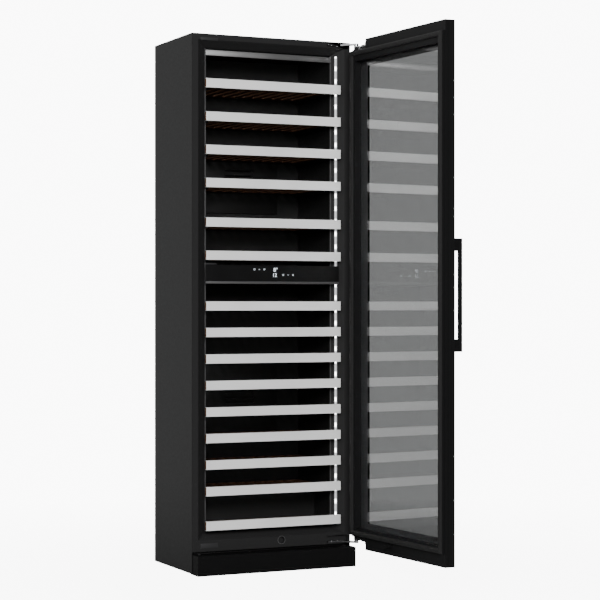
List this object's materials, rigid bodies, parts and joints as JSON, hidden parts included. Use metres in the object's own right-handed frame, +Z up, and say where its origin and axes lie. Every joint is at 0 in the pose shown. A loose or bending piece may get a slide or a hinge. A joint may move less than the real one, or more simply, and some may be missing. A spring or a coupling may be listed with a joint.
{
  "type": "wine cooler",
  "caption": "Tall black two-zone wine cooler, glass door open on its right, slatted shelves with steel fronts, touch panel and side light strip.",
  "frame": {"origin": "on the floor under the plinth, at the middle of the width and in the plane of the cabinet's front face", "axes": "+X right seen from the front, -Y towards the user, +Z up; rest pose has the door open 93.9 degrees and every shelf in"},
  "size_m": [0.6911, 0.9949, 1.8256],
  "materials": {
    "casing": "satin black enamel",
    "plain_sheet": "dull black",
    "front_frame": "satin black moulding",
    "liner": "satin black",
    "control_glass": "gloss black touch front",
    "light_strip": "lit white diffuser",
    "machine": "gloss black paint",
    "moulded_black": "satin",
    "hinge_chrome": "polished",
    "door_frame": "satin black coating",
    "door_glass": "grey tinted, clear",
    "seal": "matt",
    "handle": "satin black",
    "shelf_steel": "fine horizontal grain",
    "shelf_wood": "oiled beech-brown"
  },
  "bodies": {
    "cabinet": {"side_panel_left": "casing", "side_panel_right": "casing", "top_panel": "casing", "plinth": "casing", "back_panel": "plain_sheet", "base_pan": "plain_sheet", "front_frame": "front_frame", "liner_left": "liner", "liner_right": "liner", "liner_top": "liner", "liner_back": "liner", "liner_floor": "liner", "zone_divider": "liner", "control_panel": "control_glass", "light_strip_upper": "light_strip", "light_strip_lower": "light_strip", "compressor": "machine", "fan_motor": "machine", "rear_skid": "moulded_black", "hinge_arm_top": "hinge_chrome", "hinge_arm_bottom": "hinge_chrome"},
    "door": {"door_frame": "door_frame", "glass_outer": "door_glass", "glass_inner": "door_glass", "door_gasket": "seal", "door_handle": "handle", "hinge_bracket_top": "hinge_chrome", "hinge_bracket_bottom": "hinge_chrome"},
    "lock": {"lock_barrel": "hinge_chrome"},
    "fan": {"fan_rotor": "moulded_black"},
    "shelf_01": {"shelf_tray_01": "shelf_wood", "shelf_front_01": "shelf_steel"},
    "shelf_02": {"shelf_tray_02": "shelf_wood", "shelf_front_02": "shelf_steel"},
    "shelf_03": {"shelf_tray_03": "shelf_wood", "shelf_front_03": "shelf_steel"},
    "shelf_04": {"shelf_tray_04": "shelf_wood", "shelf_front_04": "shelf_steel"},
    "shelf_05": {"shelf_tray_05": "shelf_wood", "shelf_front_05": "shelf_steel"},
    "shelf_06": {"shelf_tray_06": "shelf_wood", "shelf_front_06": "shelf_steel"},
    "shelf_07": {"shelf_tray_07": "shelf_wood", "shelf_front_07": "shelf_steel"},
    "shelf_08": {"shelf_tray_08": "shelf_wood", "shelf_front_08": "shelf_steel"},
    "shelf_09": {"shelf_tray_09": "shelf_wood", "shelf_front_09": "shelf_steel"},
    "shelf_10": {"shelf_tray_10": "shelf_wood", "shelf_front_10": "shelf_steel"},
    "shelf_11": {"shelf_tray_11": "shelf_wood", "shelf_front_11": "shelf_steel"},
    "shelf_12": {"shelf_tray_12": "shelf_wood", "shelf_front_12": "shelf_steel"},
    "shelf_13": {"shelf_tray_13": "shelf_wood", "shelf_front_13": "shelf_steel"},
    "shelf_14": {"shelf_tray_14": "shelf_wood", "shelf_front_14": "shelf_steel"},
    "shelf_15": {"shelf_tray_15": "shelf_wood", "shelf_front_15": "shelf_steel"}
  },
  "joints": [
    {"name": "door_hinge", "type": "hinge", "parent": "cabinet", "child": "door", "pos_m": [0.302, -0.04, 0.9], "axis": [0, 0, 1], "range_deg": [-93.9, 21.1]},
    {"name": "lock_turn", "type": "hinge", "parent": "door", "child": "lock", "pos_m": [0.32023, -0.30738, 0.1005], "axis": [-0.9977, -0.068, 0], "range_deg": [0, 90]},
    {"name": "fan_spin", "type": "hinge", "parent": "cabinet", "child": "fan", "pos_m": [0, 0.316, 1.35], "axis": [0, 1, 0], "continuous": true},
    {"name": "shelf_01_slide", "type": "slide", "parent": "cabinet", "child": "shelf_01", "axis": [0, -1, 0], "range_m": [0, 0.22]},
    {"name": "shelf_02_slide", "type": "slide", "parent": "cabinet", "child": "shelf_02", "axis": [0, -1, 0], "range_m": [0, 0.22]},
    {"name": "shelf_03_slide", "type": "slide", "parent": "cabinet", "child": "shelf_03", "axis": [0, -1, 0], "range_m": [0, 0.22]},
    {"name": "shelf_04_slide", "type": "slide", "parent": "cabinet", "child": "shelf_04", "axis": [0, -1, 0], "range_m": [0, 0.22]},
    {"name": "shelf_05_slide", "type": "slide", "parent": "cabinet", "child": "shelf_05", "axis": [0, -1, 0], "range_m": [0, 0.22]},
    {"name": "shelf_06_slide", "type": "slide", "parent": "cabinet", "child": "shelf_06", "axis": [0, -1, 0], "range_m": [0, 0.22]},
    {"name": "shelf_07_slide", "type": "slide", "parent": "cabinet", "child": "shelf_07", "axis": [0, -1, 0], "range_m": [0, 0.22]},
    {"name": "shelf_08_slide", "type": "slide", "parent": "cabinet", "child": "shelf_08", "axis": [0, -1, 0], "range_m": [0, 0.22]},
    {"name": "shelf_09_slide", "type": "slide", "parent": "cabinet", "child": "shelf_09", "axis": [0, -1, 0], "range_m": [0, 0.22]},
    {"name": "shelf_10_slide", "type": "slide", "parent": "cabinet", "child": "shelf_10", "axis": [0, -1, 0], "range_m": [0, 0.22]},
    {"name": "shelf_11_slide", "type": "slide", "parent": "cabinet", "child": "shelf_11", "axis": [0, -1, 0], "range_m": [0, 0.22]},
    {"name": "shelf_12_slide", "type": "slide", "parent": "cabinet", "child": "shelf_12", "axis": [0, -1, 0], "range_m": [0, 0.22]},
    {"name": "shelf_13_slide", "type": "slide", "parent": "cabinet", "child": "shelf_13", "axis": [0, -1, 0], "range_m": [0, 0.22]},
    {"name": "shelf_14_slide", "type": "slide", "parent": "cabinet", "child": "shelf_14", "axis": [0, -1, 0], "range_m": [0, 0.22]},
    {"name": "shelf_15_slide", "type": "slide", "parent": "cabinet", "child": "shelf_15", "axis": [0, -1, 0], "range_m": [0, 0.1]}
  ]
}
